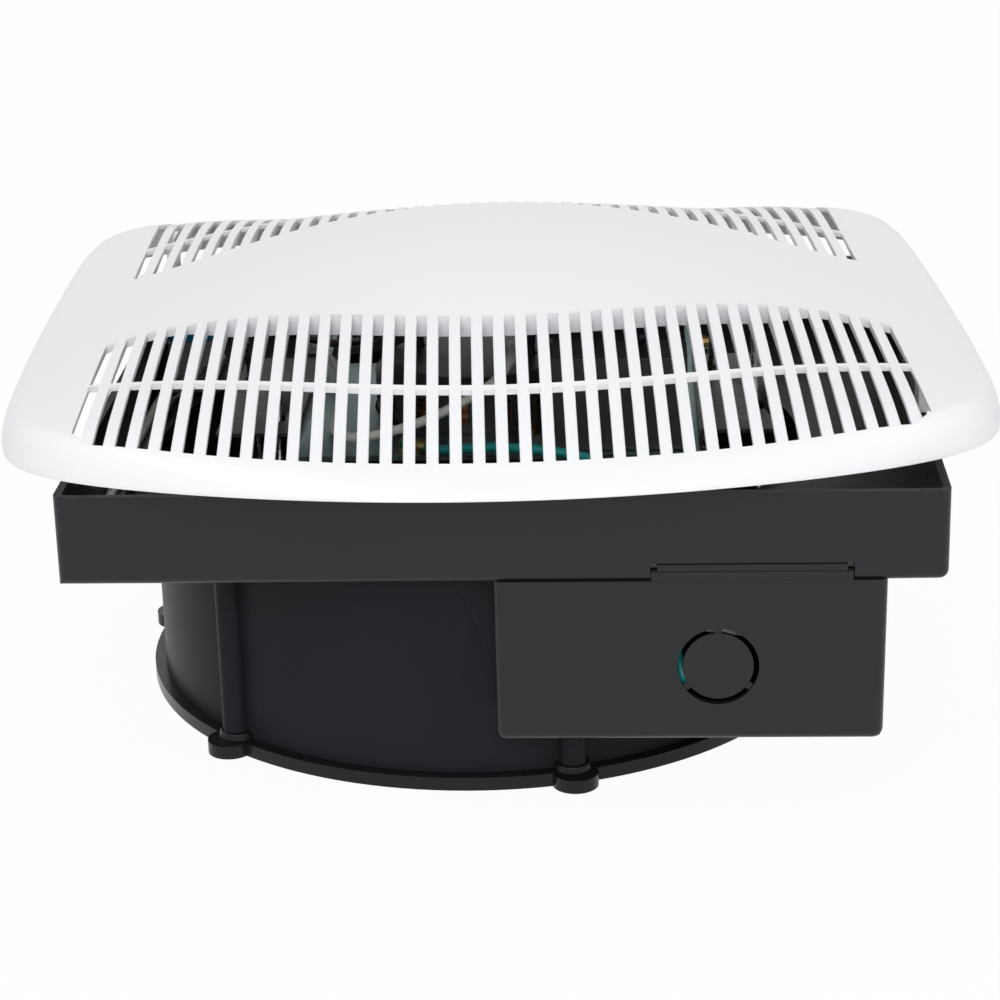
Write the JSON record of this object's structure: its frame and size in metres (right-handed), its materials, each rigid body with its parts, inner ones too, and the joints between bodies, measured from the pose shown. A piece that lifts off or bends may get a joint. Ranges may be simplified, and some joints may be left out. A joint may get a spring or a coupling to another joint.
{
  "type": "ceiling exhaust fan",
  "caption": "Ceiling exhaust fan with a domed slotted grille on a square tray, a round fan chamber below it and a side junction box.",
  "frame": {"origin": "fan axis at the lower face of the discharge ring", "axes": "+Z along the fan axis from the discharge to the room grille, -Y towards the side with the junction box, +X towards the side of the conduit knockout"},
  "size_m": [0.287, 0.284, 0.1354],
  "materials": {
    "black_plastic": "satin moulded",
    "white_plastic": "smooth moulded",
    "zinc_sheet": "zinc-plated sheet",
    "aluminium_sheet": "plain sheet",
    "spring_wire": "drawn wire",
    "brass_screws": "yellow zinc plated",
    "dark_screws": "black oxide",
    "motor_paint": "black enamel",
    "lamination": "stacked sheet",
    "copper_wire": "enamelled winding",
    "bearing_steel": "ground",
    "rotor_metal": "cast cage",
    "fan_plastic": "moulded",
    "grey_plastic": "moulded",
    "blue_plastic": "moulded",
    "capacitor_case": "moulded, no marks",
    "green_paint": "dyed",
    "rubber": "moulded",
    "white_insulation": "extruded",
    "black_insulation": "extruded",
    "green_insulation": "extruded",
    "blue_insulation": "extruded",
    "nut_plastic": "moulded"
  },
  "bodies": {
    "box": {"housing": "black_plastic", "fan_chamber": "black_plastic", "discharge_ring": "black_plastic", "ring_screws": "dark_screws", "junction_box": "black_plastic", "wiring_cover": "zinc_sheet", "cover_screws": "brass_screws", "receptacle": "grey_plastic", "receptacle_screws": "brass_screws", "motor_plug": "blue_plastic", "motor_bracket": "zinc_sheet", "bracket_screws": "brass_screws", "spring_brackets": "zinc_sheet", "spring_bracket_rivets": "aluminium_sheet", "rubber_mounts": "rubber", "motor_screws": "dark_screws", "motor_shell": "motor_paint", "upper_end_bell": "motor_paint", "lower_end_bell": "motor_paint", "stator_core": "lamination", "stator_windings": "copper_wire", "upper_bearing": "bearing_steel", "lower_bearing": "bearing_steel", "capacitor": "capacitor_case", "capacitor_screw": "brass_screws", "ground_screw": "green_paint", "ground_lug": "brass_screws", "lead_white": "white_insulation", "lead_black": "black_insulation", "lead_green": "green_insulation", "lead_blue": "blue_insulation", "supply_lead_white": "white_insulation", "supply_lead_black": "black_insulation", "wire_nuts": "nut_plastic", "damper_pin": "spring_wire", "damper_spring": "spring_wire"},
    "rotor": {"motor_shaft": "bearing_steel", "rotor_core": "rotor_metal", "fan_blades": "fan_plastic", "hub_screw": "dark_screws"},
    "front_flap": {"flap_front": "aluminium_sheet"},
    "back_flap": {"flap_back": "aluminium_sheet"},
    "grille_panel": {"grille": "white_plastic", "spring_coils": "spring_wire"},
    "arm_left_front": {"arm_left_front": "spring_wire"},
    "arm_left_back": {"arm_left_back": "spring_wire"},
    "arm_right_front": {"arm_right_front": "spring_wire"},
    "arm_right_back": {"arm_right_back": "spring_wire"}
  },
  "joints": [
    {"name": "impeller_spin", "type": "hinge", "parent": "box", "child": "rotor", "pos_m": [0, 0, 0.024], "axis": [0, 0, 1], "continuous": true},
    {"name": "front_flap_swing", "type": "hinge", "parent": "box", "child": "front_flap", "pos_m": [0, 0, 0.0067], "axis": [1, 0, 0], "range_deg": [0, 80], "stiffness_Nm_per_rad": 0.02, "springref_deg": -68.75},
    {"name": "back_flap_swing", "type": "hinge", "parent": "box", "child": "back_flap", "pos_m": [0, 0, 0.0067], "axis": [1, 0, 0], "range_deg": [-80, 0], "stiffness_Nm_per_rad": 0.02, "springref_deg": 68.75},
    {"name": "grille_draw", "type": "slide", "parent": "box", "child": "grille_panel", "axis": [0, 0, 1], "range_m": [0, 0.036], "stiffness_N_per_m": 120, "springref_m": -0.025},
    {"name": "arm_left_front_fold", "type": "hinge", "parent": "grille_panel", "child": "arm_left_front", "pos_m": [-0.0653, -0.00417, 0.117], "axis": [0.9986, 0.0523, 0], "range_deg": [0, 13]},
    {"name": "arm_left_back_fold", "type": "hinge", "parent": "grille_panel", "child": "arm_left_back", "pos_m": [-0.0653, -0.00417, 0.117], "axis": [0.9986, 0.0523, 0], "range_deg": [-13, 0]},
    {"name": "arm_right_front_fold", "type": "hinge", "parent": "grille_panel", "child": "arm_right_front", "pos_m": [0.0785, 0.00337, 0.117], "axis": [0.9986, 0.0523, 0], "range_deg": [0, 13]},
    {"name": "arm_right_back_fold", "type": "hinge", "parent": "grille_panel", "child": "arm_right_back", "pos_m": [0.0785, 0.00337, 0.117], "axis": [0.9986, 0.0523, 0], "range_deg": [-13, 0]}
  ],
  "couplings": [
    {"joint": "arm_left_front_fold", "follows": "grille_draw", "rad_per_m": 6.3},
    {"joint": "arm_left_back_fold", "follows": "grille_draw", "rad_per_m": -6.3},
    {"joint": "arm_right_front_fold", "follows": "grille_draw", "rad_per_m": 6.3},
    {"joint": "arm_right_back_fold", "follows": "grille_draw", "rad_per_m": -6.3}
  ]
}
